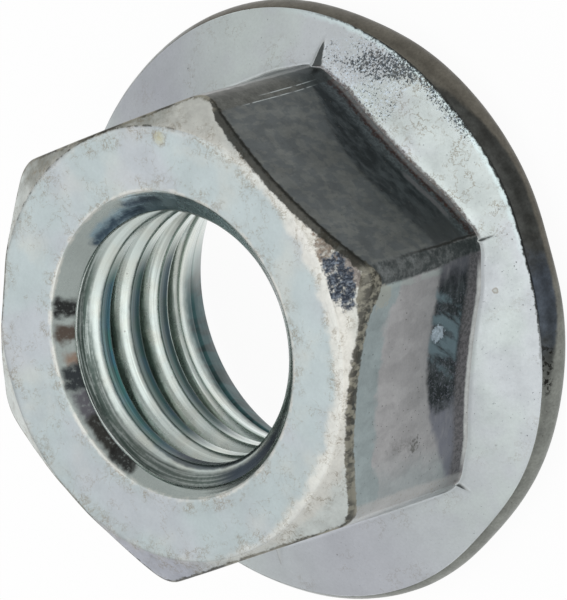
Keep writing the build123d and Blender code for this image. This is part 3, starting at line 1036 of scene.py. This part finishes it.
def thread_plate():
    """The tapped bore and its countersink: bright flanks with marks along the helix, and dark crests and roots in
    painted reflection.
    """
    g = Plate("zinc_thread")
    crest, cone_mm = g.attribute("crest_mm"), g.attribute("cone_mm")
    unwound = g.height - g.math("WRAP", g.angle, 360.0, 0.0) * (PITCH / 360)   # where this turn is at 0 degrees
    first_turn, threaded = unwound.ramp(6.6, 7.0), unwound.ramp(2.4, 2.9)
    facing = g.sector(180, 50, 13) | first_turn * g.sector(240, 62, 12)
    patina = g.noise(1.5, 3, start=(0, 0, 14)).ramp(0.4, 0.65, 0.0, 0.5)
    streak = g.lines(crest, 11.0)
    g.colour = g.scale(g.mix(patina, THREAD_COLOUR, THREAD_CREAM), streak.ramp(0.36, 0.62, 0.78, 1.06))

    # The roots, dark in painted reflection, less two light crescents on the flanks to either side of the bore's far
    # wall.
    crescent = (abs(crest - 0.62) - g.off(174) * 0.0028).ramp(0.02, -0.02) * g.off(174).ramp(12, 20)
    crescent = crescent * (1.0 - first_turn * g.sector(175, 40, 6))
    root = crest.ragged(0.08, 0.9, rough=0.4).ramp(0.54, 0.72) * (1.0 - crescent)
    g.paint(g.mottled(ROOT_COLOUR, 0.25, 0.02), root * threaded * (facing * 0.7 + 0.22))

    # The crests' lands, wider and navy where the first turn runs out, and the dark exit: painted reflection.
    widened = first_turn * g.sector(258, 30, 14) * -0.09
    land = (crest + widened).ragged(0.04, 0.6).ramp(0.37, 0.29)
    land = land * g.attribute("crest_rise_mm").ramp(0.33, -0.15, 0.72, 0.98) * facing
    tone = g.mix(g.noise(1.4, 3, 0.5, start=(0, 12, 0)).ramp(0.42, 0.6), CREST_COLOUR, CREST_BLUE)
    tone = g.scale(tone, g.lines(crest, 18.0, 0.3).ramp(0.36, 0.64, 0.6, 1.5))
    tone = g.mix(g.sector(258, 30, 10), g.scale(tone, first_turn * 0.5 + 0.5), CREST_NAVY)
    g.paint(tone, land * threaded)
    deep = g.height.ragged(0.2, 0.8).ramp(3.45, 2.5) * g.sector(200, 50, 16)
    g.paint(g.scale(EXIT_TEAL, g.lines(g.angle, 0.35, 0.3).ramp(0.36, 0.64, 0.6, 1.5)), deep * 0.95)

    # The countersink: plain grey, with blue and black patches of painted reflection on its wall, and a worn lip.
    wall = g.mottled(COUNTERSINK_COLOUR, 0.04, 0.025)
    for azimuth, spread, top, bottom, tone in COUNTERSINK_REFLECTIONS:
        fall = (HEIGHT - g.height).ragged(0.12, 0.4, (azimuth, 0, 0), 0.5).band(top, bottom, 0.12)
        inside = g.sector(azimuth, spread, 1.8, g.wander(2.2, 0.5, (0, azimuth, 0), 0.5)) * fall
        wall = g.mix(inside * g.noise(0.2, 4, 0.7, start=(0, 0, azimuth)).ramp(0.3, 0.5, 0.6, 0.96), wall, tone)
    cone = cone_mm.ramp(-0.04, 0.04)
    g.paint(g.mix(worn_lip(g, 0.08, 0.16, 0.6), wall, WORN_COLOUR), cone)

    # The first groove in painted shade, darker toward 212 and navy toward 285, the bright ridge between it and the cone
    # as a painted highlight, and pits.
    groove = g.height.ramp(9.1, 9.4) * cone.ramp(0.4, 0.1) * crest.ragged(0.03, 0.3).ramp(0.42, 0.56)
    tone = g.mix(g.lines(crest, 20.0, 0.5).ragged(0.1, 0.15).ramp(0.42, 0.66), ROOT_COLOUR, COUNTERSINK_COLOUR)
    tone = g.scale(tone, 1.0 - g.sector(212, 34, 14) * 0.45)
    g.paint(g.mix(g.sector(285, 22, 10), tone, CREST_NAVY), groove * 0.9)
    g.paint(RIDGE_HIGHLIGHT, cone_mm.band(0.0, 0.2, 0.04) * g.noise(0.6, 3).ramp(0.3, 0.5, 0.5, 1.0))
    g.paint(PIT_COLOUR, g.pitting(0.4, 0.4, (4, 2, 6)) * 0.35)
    return g.finish(g.clouded(0.2, 0.3) + deep * 0.25, streak * 0.015)


def bearing_plate():
    """The serrated underside: clean plate, a little darker in clouds, with pin holes."""
    g = Plate("zinc_bearing")
    g.colour = g.mottled(BEARING_COLOUR, 0.08, 0.05)
    g.paint(STAIN_BROWN, g.contour(1.1, (2, 2, 8), 0.01) * 0.25)
    pits = g.pitting(0.5, 0.45, (1, 2, 3))
    g.paint(PIT_COLOUR, pits * 0.6)
    return g.finish(g.clouded(0.3, 0.42), g.relief(0.02, 0.4, pits))


nut = build_nut()
for material in (bearing_plate(), rim_plate(), flange_plate(), flat_plate(), face_plate(True), face_plate(False),
                 thread_plate()):
    nut.data.materials.append(material)
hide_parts("flange_nut")
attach(nut, "root")


# ---------------------------------------------------------------- floor, light and camera
FLOOR_COLOUR = (0.92, 0.92, 0.92)
FLOOR_LIFT = 0.95               # how far the camera and the metal see it as white
FLOOR_SIZE = 14.0               # metres, so that its edge stays out of low views
LAMPS = (                       # name, azimuth, elevation, metres away, metres across, watts
    ("key_light", 182, 52, 0.5, 0.3, 0.1),
    ("top_light", 0, 88, 0.6, 0.6, 0.42),
)
# The room's brightness at heights from straight down to straight up.
ROOM_LEVELS = ((-1.0, 0.9), (0.1, 0.85), (0.34, 0.64), (0.6, 0.74), (0.74, 0.77), (0.87, 0.92), (1.0, 0.89))


def add_floor():
    """A pale sheet, lit and shadowed by the lamps but lifted toward white where the camera or the metal sees it."""
    bpy.ops.mesh.primitive_plane_add(size=FLOOR_SIZE, location=(0, 0, 0))
    floor = bpy.context.object
    floor.name = "floor"
    paper = bpy.data.materials.new("pale_paper")
    paper.use_nodes = True
    g = Nodes(paper.node_tree)
    shader = g.tree.nodes["Principled BSDF"]
    for name, value in (("Base Color", FLOOR_COLOUR), ("Roughness", 0.8), ("Specular IOR Level", 0.2)):
        g.wire(value, shader.inputs[name])
    seen = g.node("LightPath", "Is Camera Ray")
    for kind in ("Is Glossy Ray", "Is Transmission Ray"):
        seen = seen | g.node("LightPath", kind)
    lit, white = Value(g, shader.outputs["BSDF"]), g.node("Emission", "Emission")
    lifted = g.node("MixShader", "Shader", {0: seen * FLOOR_LIFT, 1: lit, 2: white})
    g.wire(lifted, g.tree.nodes["Material Output"].inputs["Surface"])
    floor.data.materials.append(paper)


def add_softbox(name, azimuth, elevation, distance, size, power):
    """A square soft light that looks at the nut."""
    toward = direction(azimuth, elevation)
    lamp = bpy.data.lights.new(name, "AREA")
    lamp.shape = "SQUARE"
    lamp.size = size
    lamp.energy = power
    holder = bpy.data.objects.new(name, lamp)
    holder.location = toward * distance
    holder.rotation_euler = toward.to_track_quat("Z", "Y").to_euler()
    bpy.context.collection.objects.link(holder)


def add_world():
    """A pale room round the nut, white like the floor where the camera looks straight at it."""
    world = bpy.data.worlds.new("studio")
    world.use_nodes = True
    g = Nodes(world.node_tree)
    rise = g.node("SeparateXYZ", "Z", {"Vector": g.node("TexCoord", "Generated")})
    room = g.node("ValToRGB", "Color", {"Fac": g.node("MapRange", "Result", {"Value": rise, "From Min": -1.0})})
    ramp = room.socket.node.color_ramp
    ramp.interpolation = "EASE"
    while len(ramp.elements) < len(ROOM_LEVELS):
        ramp.elements.new(0.5)
    for stop, (height, level) in zip(ramp.elements, ROOM_LEVELS):
        stop.position = (height + 1) / 2
        stop.color = (level, level, level, 1)
    backdrop = g.mix(g.node("LightPath", "Is Camera Ray"), room, (1, 1, 1))
    g.wire(backdrop, g.tree.nodes["Background"].inputs["Color"])
    bpy.context.scene.world = world


def add_camera():
    """The photograph's own view of the nut."""
    toward = direction(CAMERA_AZIMUTH, CAMERA_ELEVATION)
    roll = math.radians(CAMERA_ROLL)
    level_up = (Vector((0, 0, 1)) - toward * toward.z).normalized()
    level_right = level_up.cross(toward)
    up = level_up * math.cos(roll) + level_right * math.sin(roll)
    right = up.cross(toward)
    data = bpy.data.cameras.new("camera")
    data.lens = CAMERA_LENS
    data.sensor_width = CAMERA_SENSOR
    data.clip_start, data.clip_end = CAMERA_CLIP
    camera = bpy.data.objects.new("camera", data)
    place = (Vector(CAMERA_AIM) + toward * CAMERA_DISTANCE) * MM
    camera.matrix_world = Matrix.Translation(place) @ Matrix((right, up, toward)).transposed().to_4x4()
    bpy.context.collection.objects.link(camera)
    bpy.context.scene.camera = camera


add_floor()
for lamp in LAMPS:
    add_softbox(*lamp)
add_world()
add_camera()
bpy.context.scene.view_settings.view_transform = "Standard"
